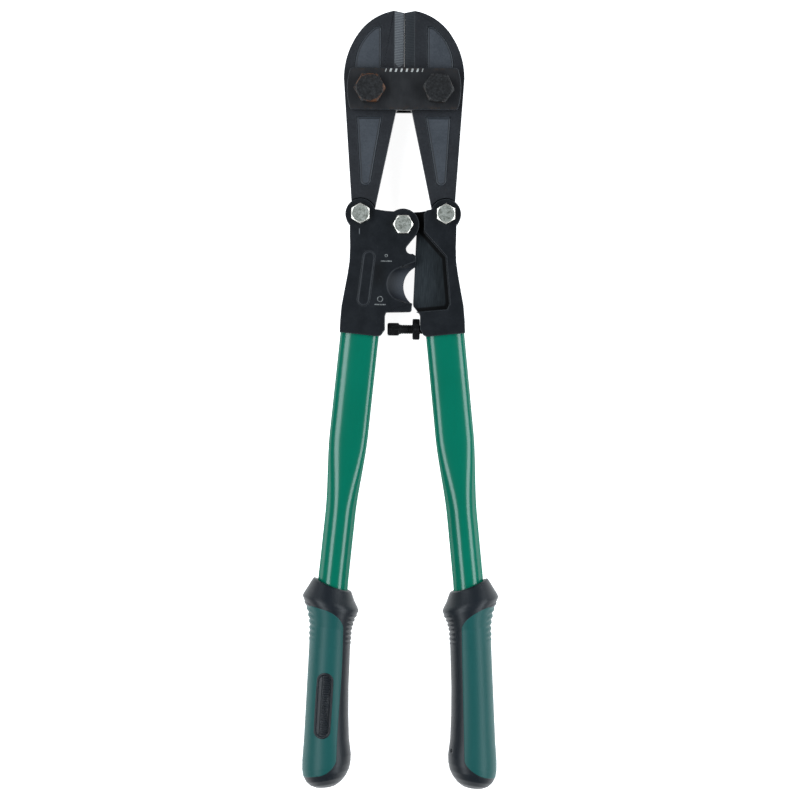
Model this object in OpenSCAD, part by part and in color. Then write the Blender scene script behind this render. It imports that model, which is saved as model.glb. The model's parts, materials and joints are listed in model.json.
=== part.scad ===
// Bolt cutters with a centre-cut head, lying on their back face.
// Millimetres. X runs across the handles, +Y towards the jaws, +Z up.
// The origin is under the middle of the whole tool, on the surface it lies on.
// Each piece is modelled about the mid-plane of the jaws and lifted by mid_z.
// The right-hand forging of each pair is the left one turned half a turn about Y.

/* [Overall] */
// Length from the jaw tips to the ends of the grips
tool_length = 450; // [370:5:540]
// Angle of each handle tube away from the middle line
handle_angle = 5.74; // [4.7:0.02:6.9]

/* [Jaws] */
// Thickness of the jaw forgings
jaw_t = 11; // [9:0.1:13.4]
// Half the distance between the two jaw pivots
jaw_pivot_half = 19.75; // [16.4:0.05:23.8]
// Jaw pivots up to the jaw tips
jaw_reach = 45.5; // [37.5:0.5:55]
// Jaw pivots down to the toggle pivots
jaw_leg = 72; // [60:0.5:87]
// Half width of the closed head at its widest
head_half = 34.9; // [29:0.1:42]
// Width of the ground bevel on each cutting edge
bevel_w = 5.9; // [4.5:0.1:7.5]
// Thickness left at the cutting edge
edge_t = 0.5; // [0.3:0.1:1]
// Depth of the recessed panels in the forgings
panel_depth = 0.9; // [0.5:0.1:1.5]
// Thickness of the tail tongue inside the handle bracket
tongue_t = 5; // [4:0.1:6]
// Radius of the round tail
tail_r = 8; // [6.6:0.1:9.6]
// Radius of the meshing tooth between the jaws
tooth_r = 2; // [1.5:0.1:2.5]

/* [Head plates] */
// Width of each head plate
plate_w = 65.8; // [54:0.2:79]
// Height of each head plate
plate_h = 24.5; // [20:0.5:29.5]
// Thickness of each head plate
plate_t = 4; // [3:0.25:5]
// Corner radius of each head plate
plate_corner = 4.4; // [2:0.2:6]

/* [Fasteners] */
// Diameter of the jaw bolts
jaw_bolt_d = 10; // [8:0.1:12]
// Width across flats of the jaw bolt heads and nuts
jaw_hex_af = 16; // [13:0.1:19.4]
// Height of the jaw bolt heads
jaw_head_h = 6.4; // [5:0.2:8]
// Height of the jaw nuts
jaw_nut_h = 6; // [5:0.2:8]
// Thickness of the lock washers
lock_washer_t = 2; // [1.5:0.1:2.5]
// Diameter of the toggle bolts
toggle_d = 6; // [5:0.1:7.2]
// Width across flats of the toggle and centre bolt heads
toggle_hex_af = 10.4; // [8.6:0.1:12.6]
// Height of the toggle and centre bolt heads
toggle_head_h = 4.4; // [3:0.2:6]
// Height of the toggle and centre nuts
toggle_nut_h = 5; // [4:0.2:6]
// Thickness of the centre washer
centre_washer_t = 1.6; // [1:0.1:2]

/* [Brackets] */
// Thickness of the handle brackets
bracket_t = 14; // [11.6:0.1:17]
// Half the distance between the toggle pivots, closed
toggle_half = 24.67; // [20.5:0.01:29.7]
// Toggle pivots down to the centre pivot, closed
centre_drop = 6.2; // [5:0.1:8]
// Radius of the lobe around each toggle pivot
lobe_r = 8.8; // [7.3:0.1:10.6]
// Radius of the boss around the centre pivot
boss_r = 9.3; // [7.7:0.1:11.2]
// Radius of the round wire notch
wire_notch_r = 2.9; // [2.4:0.1:3.5]
// Radius of the cable notch at its cutting edge
cable_notch_r = 12.8; // [10.6:0.1:15.4]
// Depth of the obround panel in each bracket's face
face_panel_depth = 0.6; // [0.3:0.1:0.9]
// Width of the tang, as a share of the tube's inside width
tang_w_share = 0.73; // [0.6:0.01:0.76]
// Thickness of the tang, as a share of the tube's inside thickness
tang_t_share = 0.7; // [0.55:0.01:0.76]
// Length of the tang, as a share of the flattened part of the tube
tang_share = 0.74; // [0.5:0.01:0.9]

/* [Adjuster] */
// Diameter of the adjusting screw
screw_d = 5.6; // [4:0.2:6]
// Width across flats of its head
screw_head_af = 7.3; // [6:0.1:9]
// Length of its head
screw_head_l = 6.8; // [5:0.2:8]
// Length of the shank that shows between head and bracket
screw_shank_l = 12; // [10:0.1:14.4]
// Length of the shank held in the bracket
screw_hold_l = 14; // [10:0.5:17]
// Width across flats of the lock nut
lock_nut_af = 12; // [10:0.1:14.4]
// Thickness of the lock nut
lock_nut_t = 4.3; // [3:0.1:5]

/* [Handle tubes] */
// Outside diameter of the round part of the tube
tube_d = 17.4; // [14.4:0.1:21]
// Width of the flattened end of the tube
flat_w = 22.2; // [18.4:0.1:26.8]
// Thickness of the flattened end of the tube
flat_t = 11; // [9:0.1:13.2]
// Wall thickness of the tube
tube_wall = 1.5; // [1:0.1:2]
// Length of the flattened part, as a share of the bare tube between bracket and grip
flat_share = 0.394; // [0.3:0.002:0.48]
// Length of the change from flat to round, as a share of the bare tube
taper_share = 0.332; // [0.2:0.002:0.4]

/* [Grips] */
// Length of each grip
grip_length = 118; // [98:1:142]
// Width of the grip at its narrowest
grip_w = 23.7; // [21:0.1:28.5]
// Depth of the grip, front to back, at its narrowest
grip_t = 26; // [22:0.2:31.2]
// Width of the grip near its rounded end
butt_w = 28.2; // [23.4:0.2:34]
// Width of the flange at the top of the grip
flange_w = 32.6; // [27:0.2:39.2]
// Length of the soft collar above the flange
collar_length = 10.6; // [8:0.2:14]
// Slope of the collar and flange across the grip
collar_slope = 0.27; // [0.1:0.01:0.3]
// Length of the oval badge on the grip
badge_length = 38; // [30:1:44]
// Width of the oval badge on the grip
badge_w = 9.9; // [8:0.1:12]

/* [Fits] */
// Radial clearance of a pin in its hole
pin_fit = 0.05; // [0.02:0.01:0.1]
// Gap between flat faces that slide on each other
face_gap = 0.05; // [0.03:0.01:0.2]
// Gap between each cutting edge and the middle line
edge_gap = 0.05; // [0.03:0.01:0.2]
// Side gap of the tongue in its slot
tongue_gap = 0.1; // [0.05:0.01:0.3]
// Radial clearance around the centre bolt in the right bracket
centre_play = 2; // [1.6:0.1:2.4]
// Gap between the adjusting screw's head and the left bracket
stop_gap = 1.5; // [1.2:0.05:3]

/* [Hidden] */
$fn = 64;

black = "#2b2e33";
zinc = "#9aa09c";
tube_green = "#00755d";
grip_green = "#2a5a5a";
slate = "#3f464e";

// Heights above and below the mid-plane
plate_z = jaw_t / 2 + face_gap;
plate_top = plate_z + plate_t;
nut_bottom = plate_top + lock_washer_t + jaw_nut_h;
mid_z = nut_bottom;
bracket_half = bracket_t / 2;
slot_half = tongue_t / 2 + tongue_gap;

// How far each shank runs into its head
into_head = 1;

// Places along the tool
jaw_y = tool_length / 2 - jaw_reach;
toggle_y = jaw_y - jaw_leg;
centre_y = toggle_y - centre_drop;
jaw_pivot = [-jaw_pivot_half, jaw_y];
toggle_pivot = [-toggle_half, toggle_y];
centre = [0, centre_y];
grip_end_y = -tool_length / 2;
grip_top_y = grip_end_y + grip_length;

// Bracket heights, measured from the centre pivot
bracket_bottom = -63.5;
screw_dy = -60.3;

// The adjuster stands between the brackets' inner faces, and the tubes stand clear of it
lug_gap = 0.1;
adjuster_l = stop_gap + screw_head_l + screw_shank_l;
pad_x = -(adjuster_l + lug_gap) / 2;
lug_x = -(pad_x + adjuster_l);
tube_clearance = 3.5;

// Handle axis: a straight line that bends inwards at the grip's mouth
axis_slope = tan(handle_angle);
grip_slope = 0.024;
axis_x0 = pad_x - tube_clearance - flat_w / 2;
axis_y0 = centre_y + bracket_bottom;
bend_y = grip_top_y + 6;
bend_span = 18;

// Lengths along the bare tube, and the tang inside it
bare_length = axis_y0 - grip_top_y;
flat_length = flat_share * bare_length;
taper_length = taper_share * bare_length;
tang_w = tang_w_share * (flat_w - 2 * tube_wall);
tang_t = tang_t_share * (flat_t - 2 * tube_wall);
tang_length = tang_share * flat_length;

// Points on an arc about c, from angle a0 to a1 in n steps
function arc(c, r, a0, a1, n) =
    [for (i = [0:n]) let (a = a0 + (a1 - a0) * i / n) c + r * [cos(a), sin(a)]];

// Points on the curve from p to q that leaves and arrives towards c, in n steps
function bend(p, c, q, n) =
    [for (i = [1:n]) let (t = i / n) (1 - t) * (1 - t) * p + 2 * t * (1 - t) * c + t * t * q];

// Smooth step from 0 to 1
function ease(t) = let (u = min(1, max(0, t))) u * u * (3 - 2 * u);

// X of the left handle's axis at height y: the slope eases from one value to the other
function bend_part(y) = min(1, max(0, (bend_y - y) / bend_span));
function axis_x(y) =
    axis_x0 - axis_slope * (axis_y0 - y)
    + (axis_slope - grip_slope)
      * (pow(bend_part(y), 2) * bend_span / 2 + max(0, bend_y - bend_span - y));

// One ring of a lofted piece: centre x and y, half width a, half depth b,
// slope k across the piece, and squareness e (2 is an ellipse)
ring_sides = 32;
function power(v, e) = sign(v) * pow(abs(v), 2 / e);
function ring(x, y, a, b, k, e) =
    [for (j = [0:ring_sides - 1])
        let (t = 360 * (j + 0.5) / ring_sides, u = a * power(cos(t), e))
        [x + u, y + k * u, b * power(sin(t), e)]];

// Closed solid through a list of rings, from the top ring to the bottom one
module loft(rings) {
    m = len(rings);
    n = len(rings[0]);
    sides = [for (i = [0:m - 2], j = [0:n - 1])
        [i * n + j, (i + 1) * n + j, (i + 1) * n + (j + 1) % n, i * n + (j + 1) % n]];
    top = [[for (j = [0:n - 1]) j]];
    bottom = [[for (j = [0:n - 1]) m * n - 1 - j]];
    polyhedron([for (r = rings, p = r) p], concat(sides, top, bottom), convexity = 4);
}

module lifted() {
    translate([0, 0, mid_z]) children();
}

// Left piece as drawn, right piece turned about the middle line
module sided(right) {
    if (right) rotate([0, 180, 0]) children();
    else children();
}

// Hexagon prism with its outer corners turned down, standing on z = 0
module hex_prism(af, h, flats_up = false) {
    corner_d = af / cos(30);
    rotate([0, 0, flats_up ? 30 : 0])
        intersection() {
            cylinder(h = h, d = corner_d, $fn = 6);
            union() {
                cylinder(h = h - af * 0.06, d = corner_d + 1);
                translate([0, 0, h - af * 0.06])
                    cylinder(h = af * 0.06, d1 = corner_d + 0.2, d2 = af * 0.94);
            }
        }
}

module hex_nut(af, h, bore_d) {
    difference() {
        hex_prism(af, h, true);
        translate([0, 0, -1]) cylinder(h = h + 2, d = bore_d);
    }
}

// ---- Jaws ----

// The jaw outline in the left half, closed, down to the toggle pivot
crown_r = 31.8;
crown_c = [-0.5, jaw_y + jaw_reach - 31.3];
crown_end = 145;
crown_point = crown_c + crown_r * [cos(crown_end), sin(crown_end)];
widest = [-head_half, jaw_y + 6.2];
leg_inner = -toggle_half + 7.6;
leg_outer = -toggle_half - 4.85;

module jaw_outline() {
    heel_r = jaw_pivot_half - edge_gap;
    // Where the crown's tangent meets the widest line
    corner = [widest.x, crown_point.y - (widest.x - crown_point.x) / tan(crown_end)];
    polygon(concat(
        [[-edge_gap, jaw_y + jaw_reach - 0.6]],
        arc(crown_c, crown_r, 100, crown_end, 18),
        bend(crown_point, corner, widest, 14),
        [[leg_outer, toggle_y], [leg_inner, toggle_y]],
        arc(jaw_pivot, heel_r, -40, 0, 24)
    ));
}

// Recessed panel beside the cutting edge
module upper_panel() {
    inner_x = -bevel_w - 7.3;
    low_y = jaw_y + 8;
    intersection() {
        translate(crown_c + [0, -1]) circle(r = crown_r - 3.6, $fn = 96);
        translate([-head_half, low_y]) square([head_half + inner_x, 28.5]);
    }
}

// Recessed panel along the leg, tapering to a round end
module leg_panel() {
    top_y = jaw_y - 15.7;
    end_y = toggle_y + 19.7;
    end_r = 3.4;
    end_x = -toggle_half + 2.82;
    polygon(concat(
        [[-27.4, top_y], [-12.4, top_y]],
        arc([end_x, end_y], end_r, 8, -188, 18)
    ));
}

module jaw(right) {
    sided(right) difference() {
        union() {
            linear_extrude(jaw_t, center = true) jaw_outline();
            translate(toggle_pivot) cylinder(h = tongue_t, r = tail_r, center = true);
            if (!right)
                translate([0, jaw_y]) cylinder(h = jaw_t, r = tooth_r, center = true);
        }
        translate(jaw_pivot)
            cylinder(h = jaw_t + 2, d = jaw_bolt_d + 2 * pin_fit, center = true);
        translate(toggle_pivot)
            cylinder(h = jaw_t + 2, d = toggle_d + 2 * pin_fit, center = true);
        // Steps that leave the tongue
        for (z = [tongue_t / 2, -tongue_t / 2 - jaw_t])
            translate([toggle_pivot.x, toggle_pivot.y, z]) cylinder(h = jaw_t, r = lobe_r + 0.5);
        // Ground bevels on both faces
        for (flip = [0, 1]) mirror([0, 0, flip])
            translate([0, jaw_y + 8, 0])
                rotate([90, 0, 180]) linear_extrude(jaw_reach)
                    polygon([[-1, edge_t / 2], [bevel_w, jaw_t / 2 + 0.01],
                             [bevel_w, jaw_t], [-1, jaw_t]]);
        // Recessed panels on both faces
        for (z = [jaw_t / 2 - panel_depth, -jaw_t / 2 - 1])
            translate([0, 0, z]) linear_extrude(panel_depth + 1) {
                upper_panel();
                leg_panel();
            }
        if (right)
            translate([0, jaw_y]) cylinder(h = jaw_t + 2, r = tooth_r + 0.4, center = true);
    }
}

module jaw_left() { color(black) lifted() jaw(false); }
module jaw_right() { color(black) lifted() jaw(true); }

// ---- Head plates, bolts, washers and nuts ----

// Plate with rounded corners and slightly bowed ends
module plate_outline() {
    r = plate_corner;
    bow_r = plate_h * 1.6;
    intersection() {
        union() {
            square([plate_w, plate_h - 2 * r], center = true);
            square([plate_w - 2 * r, plate_h], center = true);
            for (x = [-1, 1], y = [-1, 1])
                translate([x * (plate_w / 2 - r), y * (plate_h / 2 - r)]) circle(r = r);
        }
        translate([bow_r - plate_w / 2, 0]) circle(r = bow_r, $fn = 128);
        translate([plate_w / 2 - bow_r, 0]) circle(r = bow_r, $fn = 128);
    }
}

module jaw_plate(z) {
    translate([0, jaw_y, z]) linear_extrude(plate_t) difference() {
        plate_outline();
        for (s = [-1, 1])
            translate([s * jaw_pivot_half, 0]) circle(d = jaw_bolt_d + 2 * pin_fit);
    }
}

module jaw_plate_front() { color(black) lifted() jaw_plate(plate_z); }
module jaw_plate_rear() { color(black) lifted() jaw_plate(-plate_top); }

module jaw_bolt(s) {
    color(black) lifted() translate([s * jaw_pivot_half, jaw_y, 0]) union() {
        translate([0, 0, plate_top]) rotate([0, 0, s < 0 ? 0 : -6])
            hex_prism(jaw_hex_af, jaw_head_h);
        translate([0, 0, -nut_bottom + 0.5])
            cylinder(h = nut_bottom + plate_top - 0.5 + into_head, d = jaw_bolt_d);
    }
}

module jaw_bolt_left() { jaw_bolt(-1); }
module jaw_bolt_right() { jaw_bolt(1); }

// Split spring washer
module jaw_lock_washer(s) {
    color(zinc) lifted() translate([s * jaw_pivot_half, jaw_y, -plate_top - lock_washer_t])
        difference() {
            cylinder(h = lock_washer_t, d = jaw_hex_af);
            translate([0, 0, -1]) cylinder(h = lock_washer_t + 2, d = jaw_bolt_d + 2 * pin_fit);
            rotate([0, 0, 90 + 20 * s]) translate([0, -0.6, -1])
                cube([jaw_hex_af, 1.2, lock_washer_t + 2]);
        }
}

module jaw_lock_washer_left() { jaw_lock_washer(-1); }
module jaw_lock_washer_right() { jaw_lock_washer(1); }

module jaw_nut(s) {
    color(black) lifted() translate([s * jaw_pivot_half, jaw_y, -nut_bottom])
        rotate([0, 0, 12 * s]) translate([0, 0, jaw_nut_h]) mirror([0, 0, 1])
            hex_nut(jaw_hex_af, jaw_nut_h, jaw_bolt_d);
}

module jaw_nut_left() { jaw_nut(-1); }
module jaw_nut_right() { jaw_nut(1); }

// ---- Handle brackets ----

// Outer edge of the left bracket, from just inside the lobe down to the tube
join = 0.06;
lobe_meets = [join - sqrt(pow(lobe_r, 2) - pow(centre_drop, 2)), 0];
outer_edge = concat(
    [for (p = [lobe_meets, [-6.13, -6], [-5.93, -13], [-6.23, -21.5]]) [p.x - toggle_half, p.y]],
    [for (p = [[-7.2, -29], [-9.2, -39.5], [-10.5, -47], [-11.2, -55]]) [p.x + axis_x0, p.y]]);
outer_corner_x = axis_x0 - 11.5;

// Bottom edge, square to the tube, and the rounded corner beside the stop pad
bottom_corner_r = 3.4;
function bottom_y(x) = bracket_bottom - axis_slope * (x - axis_x0);
bottom_corner_x = pad_x - 4.4;
function bottom_edge() = concat(
    arc([bottom_corner_x, bottom_y(bottom_corner_x) + bottom_corner_r], bottom_corner_r,
        -20, -90 - handle_angle, 8),
    [[outer_corner_x, bottom_y(outer_corner_x)]]);

// Top edge of both brackets, from the lobe to the centre boss
top_edge = [[-17.2, 9], [-9.8, 7.9], [-5.4, 7.6]];
// Wall of the recess that the other bracket's blade swings in
recess_wall = [[-12.2, -3.7], [-25.1, -18.2], [-27.5, -45.5], [-25.8, -48.8], [-8.9, -50.4]];

// Body of the bracket, full thickness, in the left half
module bracket_body_outline() {
    polygon(concat(
        [top_edge[0], (top_edge[0] + top_edge[1]) / 2, [recess_wall[0].x, boss_r - 3]],
        recess_wall,
        [[-9.6, -50.8], [pad_x, screw_dy + 7.6], [pad_x, screw_dy - 0.5]],
        bottom_edge(),
        [for (i = [len(outer_edge) - 1:-1:0]) outer_edge[i]],
        [[-toggle_half, centre_drop]]
    ));
}

// Places of the notches, measured from the centre pivot
wire_notch_c = [4.7, -14];
wire_slot_angle = 51;
cable_notch_c = [1.55 + cable_notch_r, -35.7];
finger_top = [7.6, -18.1];

// Where each neck leaves the centre boss
hook_leaves = -26.3;
inside_x = -toggle_half - 5.33;

// Front half of the left bracket, with the hooked blade and its two notches
module hook_outline() {
    slot_dir = [cos(wire_slot_angle), sin(wire_slot_angle)];
    slot_start = wire_notch_c + wire_notch_r * [-slot_dir.y, slot_dir.x];
    slot_end = slot_start + 9 * slot_dir;
    difference() {
        union() {
            circle(r = boss_r);
            polygon(concat(top_edge,
                [[0, 0], (boss_r - join) * [cos(hook_leaves), sin(hook_leaves)], [7.9, -6]],
                [finger_top + [0, 1], finger_top, [7.2, -25.4], [5.6, -45.6]],
                arc([3.7, -48.9], 1.6, 15, -90, 6),
                [[-9.6, -50.8], [inside_x, -50], [inside_x, -10], [-toggle_half, centre_drop]]));
        }
        // Round wire notch with its slanted way in
        translate(wire_notch_c) circle(r = wire_notch_r);
        polygon([wire_notch_c, slot_start, slot_end, [16, slot_end.y], [16, finger_top.y],
                 finger_top, wire_notch_c + wire_notch_r * [0.3, -0.954]]);
        // Cable notch at its cutting edge
        translate(cable_notch_c) circle(r = cable_notch_r, $fn = 96);
    }
}

// Ground bevel that falls from the front face to the cable notch's cutting edge
module cable_bevel() {
    hull() {
        translate([0, 0, bracket_half]) linear_extrude(1) {
            translate([0.7, -34.4]) circle(r = 9.9, $fn = 48);
            polygon([[18, -17], [18, -45.6], [1, -44.6]]);
        }
        translate([cable_notch_c.x, cable_notch_c.y, -0.6])
            cylinder(h = 1, r = cable_notch_r, $fn = 48);
    }
}

// Front half of the other bracket, drawn in the left half, with the straight blade
module anvil_outline() {
    circle(r = boss_r);
    polygon(concat(top_edge,
        [[0, 0], [-7.75, -5], [-6.1, -45.6], [-6.3, -46.8], [-9.2, -50.6]],
        [[inside_x, -50], [inside_x, -10], [-toggle_half, centre_drop]]));
}

module bracket(right) {
    slot_r = max(tail_r + 1.2, lobe_r + 0.4);
    toggle = [-toggle_half, centre_drop];
    sided(right) translate(centre) difference() {
        union() {
            linear_extrude(bracket_t, center = true) bracket_body_outline();
            translate(toggle) cylinder(h = bracket_t, r = lobe_r, center = true);
            translate([0, 0, face_gap]) linear_extrude(bracket_half - face_gap)
                if (right) anvil_outline();
                else hook_outline();
            tang();
        }
        if (!right) cable_bevel();
        // Clear the other bracket's boss as the handles turn
        translate([0, 0, -bracket_t]) cylinder(h = bracket_t + face_gap, r = boss_r + 0.6);
        // Slot for the jaw's tongue
        translate(toggle) cylinder(h = 2 * slot_half, r = slot_r, center = true);
        translate(toggle) cylinder(h = bracket_t + 2, d = toggle_d + 2 * pin_fit, center = true);
        cylinder(h = bracket_t + 2, center = true,
                 d = toggle_d + 2 * (right ? centre_play : pin_fit));
        // Obround panel sunk in the face
        translate([-toggle_half + 3.57, -31.2, bracket_half - face_panel_depth]) rotate([0, 0, -7])
            linear_extrude(1) obround(32, 7);
        if (right)
            translate([lug_x - screw_hold_l - 2.5, screw_dy, 0]) rotate([0, 90, 0])
                cylinder(h = screw_hold_l + 12, d = screw_d + 2 * pin_fit);
    }
}

// Upright obround of a given overall height and width
module obround(h, w) {
    square([w, h - w], center = true);
    for (s = [-1, 1]) translate([0, s * (h - w) / 2]) circle(d = w, $fn = 32);
}

// Tang that fills the flattened end of the tube, along the tube's axis
module tang() {
    translate([axis_x0, bracket_bottom, 0]) rotate([0, 0, -handle_angle])
        translate([-tang_w / 2, -tang_length, -tang_t / 2])
            cube([tang_w, tang_length + 6, tang_t]);
}

module bracket_left() { color(black) lifted() bracket(false); }
module bracket_right() { color(black) lifted() bracket(true); }

module toggle_bolt(s) {
    color(zinc) lifted() translate([s * toggle_half, toggle_y, 0]) union() {
        translate([0, 0, bracket_half]) hex_prism(toggle_hex_af, toggle_head_h, true);
        translate([0, 0, -bracket_half - toggle_nut_h + 0.4])
            cylinder(h = bracket_t + toggle_nut_h - 0.4 + into_head, d = toggle_d);
    }
}

module toggle_bolt_left() { toggle_bolt(-1); }
module toggle_bolt_right() { toggle_bolt(1); }

module toggle_nut(s) {
    color(zinc) lifted() translate([s * toggle_half, toggle_y, -bracket_half]) rotate([180, 0, 10 * s])
        hex_nut(toggle_hex_af, toggle_nut_h, toggle_d);
}

module toggle_nut_left() { toggle_nut(-1); }
module toggle_nut_right() { toggle_nut(1); }

// The centre bolt turns with the left bracket; its washer clears the right one
centre_stack = bracket_half + face_gap + centre_washer_t;

module centre_bolt() {
    color(zinc) lifted() translate(centre) union() {
        translate([0, 0, bracket_half]) hex_prism(toggle_hex_af, toggle_head_h);
        translate([0, 0, -centre_stack - toggle_nut_h + 0.4])
            cylinder(h = centre_stack + toggle_nut_h - 0.4 + bracket_half + into_head, d = toggle_d);
    }
}

module centre_washer() {
    washer_d = toggle_d + 4 * centre_play + 0.8;
    color(zinc) lifted() translate([0, centre_y, -centre_stack]) difference() {
        cylinder(h = centre_washer_t, d = washer_d);
        translate([0, 0, -1]) cylinder(h = centre_washer_t + 2, d = toggle_d + 2 * pin_fit);
    }
}

module centre_nut() {
    color(zinc) lifted() translate([0, centre_y, -centre_stack]) rotate([180, 0, 0])
        hex_nut(toggle_hex_af, toggle_nut_h, toggle_d);
}

// ---- Adjuster, which stops the handles as they close ----

module adjusting_screw() {
    head_x = pad_x + stop_gap;
    color(black) lifted() translate([head_x, centre_y + screw_dy, 0]) rotate([0, 90, 0]) union() {
        cylinder(h = screw_head_l, d = screw_head_af / cos(30), $fn = 6);
        translate([0, 0, screw_head_l - into_head])
            cylinder(h = screw_shank_l + screw_hold_l + into_head, d = screw_d);
    }
}

module adjuster_lock_nut() {
    color(black) lifted() translate([-lug_x - lock_nut_t, centre_y + screw_dy, 0])
        rotate([0, 90, 0]) difference() {
            cylinder(h = lock_nut_t - face_gap, d = lock_nut_af / cos(30), $fn = 6);
            translate([0, 0, -1]) cylinder(h = lock_nut_t + 2, d = screw_d + 2 * pin_fit);
        }
}

// ---- Handle tubes ----

// Share of the change from the flattened end to the round tube
function roundness(y) = ease((axis_y0 - flat_length - y) / taper_length);
function tube_a(y) = flat_w / 2 + (tube_d / 2 - flat_w / 2) * roundness(y);
function tube_b(y) = flat_t / 2 + (tube_d / 2 - flat_t / 2) * roundness(y);
function tube_e(y) = 2.7 - 0.7 * roundness(y);

tube_end_y = grip_end_y + 12;
function tube_ys() = let (taper_y = axis_y0 - flat_length, low = bend_y - bend_span) concat(
    [axis_y0],
    [for (i = [0:6]) taper_y - taper_length * i / 6],
    [for (i = [0:4]) bend_y - bend_span * i / 4],
    [tube_end_y]);

module tube_solid(inset) {
    loft([for (y = tube_ys())
        ring(axis_x(y), y, tube_a(y) - inset, tube_b(y) - inset, -axis_slope, tube_e(y))]);
}

module tube(right) {
    color(tube_green) lifted() sided(right) difference() {
        tube_solid(0);
        tube_bore();
    }
}

// Inside of the tube, run past both ends
module tube_bore() {
    ys = tube_ys();
    inner = concat([axis_y0 + 2], [for (i = [1:len(ys) - 2]) ys[i]], [tube_end_y - 2]);
    loft([for (y = inner)
        ring(axis_x(y), y, tube_a(y) - tube_wall, tube_b(y) - tube_wall, -axis_slope, tube_e(y))]);
}

module tube_left() { tube(false); }
module tube_right() { tube(true); }

// ---- Grips ----

// Rings of the whole grip: distance below the mouth, half width, half depth, share of
// the collar's slope, and shift of the ring outwards
flange_at = collar_length;
flange_b = mid_z - 0.1;
function grip_rings() = [
    [0, tube_d / 2 + 2.3, tube_d / 2 + 2.5, 1.4, 0.2],
    [flange_at * 0.5, flange_w / 2 - 2.9, flange_b - 3.6, 1.2, 0.5],
    [flange_at - 1.4, flange_w / 2 - 0.8, flange_b - 0.9, 1, 0.7],
    [flange_at, flange_w / 2, flange_b, 1, 0.7],
    [flange_at + 3, flange_w / 2 - 1, flange_b - 1.2, 1, 0.6],
    [flange_at + 7.5, grip_w / 2 + 1.4, grip_t / 2 + 1.6, 0.9, 0.3],
    [flange_at + 14, grip_w / 2 + 0.1, grip_t / 2 + 0.1, 0.6, 0.2],
    [flange_at + 26, grip_w / 2, grip_t / 2, 0.3, 0.4],
    [grip_length * 0.5, grip_w / 2 + 0.2, grip_t / 2 + 0.1, 0, 0.8],
    [grip_length * 0.64, grip_w / 2 + 0.6, grip_t / 2 + 0.3, 0, 0.8],
    [grip_length * 0.76, grip_w / 2 + 1.2, grip_t / 2 + 0.6, 0, 0.6],
    [grip_length - 18, butt_w / 2, butt_w / 2, 0, 0.2],
    [grip_length - 11, butt_w / 2 - 0.1, butt_w / 2, 0, 0.2],
    [grip_length - 5.4, butt_w / 2 - 2.2, butt_w / 2 - 2, 0, 0.2],
    [grip_length - 2.2, butt_w / 2 - 5, butt_w / 2 - 4.6, 0, 0.2],
    [grip_length, butt_w / 2 - 9, butt_w / 2 - 8.6, 0, 0.2]];

module grip_solid() {
    loft([for (g = grip_rings()) let (y = grip_top_y - g[0])
        ring(axis_x(y) - g[4], y, g[1], g[2], -collar_slope * g[3], 2.1)]);
}

// Side view of the hard green shell: outside the soft strip, below the flange
module shell_outline() {
    top = grip_top_y - flange_at - 1.5;
    low = grip_end_y + 10;
    strip = 6.3;
    x0 = axis_x(top);
    polygon([[x0 - 40, top + collar_slope * 40], [x0 + strip, top - collar_slope * strip - 4],
             [axis_x(low) + strip - 1.5, low], [axis_x(low) - 40, low + 2]]);
}

module badge_place() {
    y = grip_top_y - grip_length * 0.587;
    translate([axis_x(y) - 2.6, y, grip_t / 2 - 1.3]) rotate([0, 0, -3.2]) children();
}

module grip_shell(right) {
    color(grip_green) lifted() sided(right) difference() {
        intersection() {
            grip_solid();
            translate([0, 0, -30]) linear_extrude(60) shell_outline();
        }
        tube_solid(0);
        badge_place() linear_extrude(4) obround(badge_length, badge_w);
    }
}

module grip_overmould(right) {
    color(slate) lifted() sided(right) difference() {
        grip_solid();
        translate([0, 0, -30]) linear_extrude(60) shell_outline();
        tube_solid(0);
    }
}

module grip_badge(right) {
    fit = 0.15;
    color(slate) lifted() sided(right) badge_place() translate([0, 0, 0.02])
        linear_extrude(0.9) obround(badge_length - 2 * fit, badge_w - 2 * fit);
}

module grip_shell_left() { grip_shell(false); }
module grip_shell_right() { grip_shell(true); }
module grip_overmould_left() { grip_overmould(false); }
module grip_overmould_right() { grip_overmould(true); }
module grip_badge_left() { grip_badge(false); }
module grip_badge_right() { grip_badge(true); }

jaw_left();
jaw_right();
jaw_plate_front();
jaw_plate_rear();
jaw_bolt_left();
jaw_bolt_right();
jaw_lock_washer_left();
jaw_lock_washer_right();
jaw_nut_left();
jaw_nut_right();
bracket_left();
bracket_right();
toggle_bolt_left();
toggle_bolt_right();
toggle_nut_left();
toggle_nut_right();
centre_bolt();
centre_washer();
centre_nut();
adjusting_screw();
adjuster_lock_nut();
tube_left();
tube_right();
grip_shell_left();
grip_shell_right();
grip_overmould_left();
grip_overmould_right();
grip_badge_left();
grip_badge_right();
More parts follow.
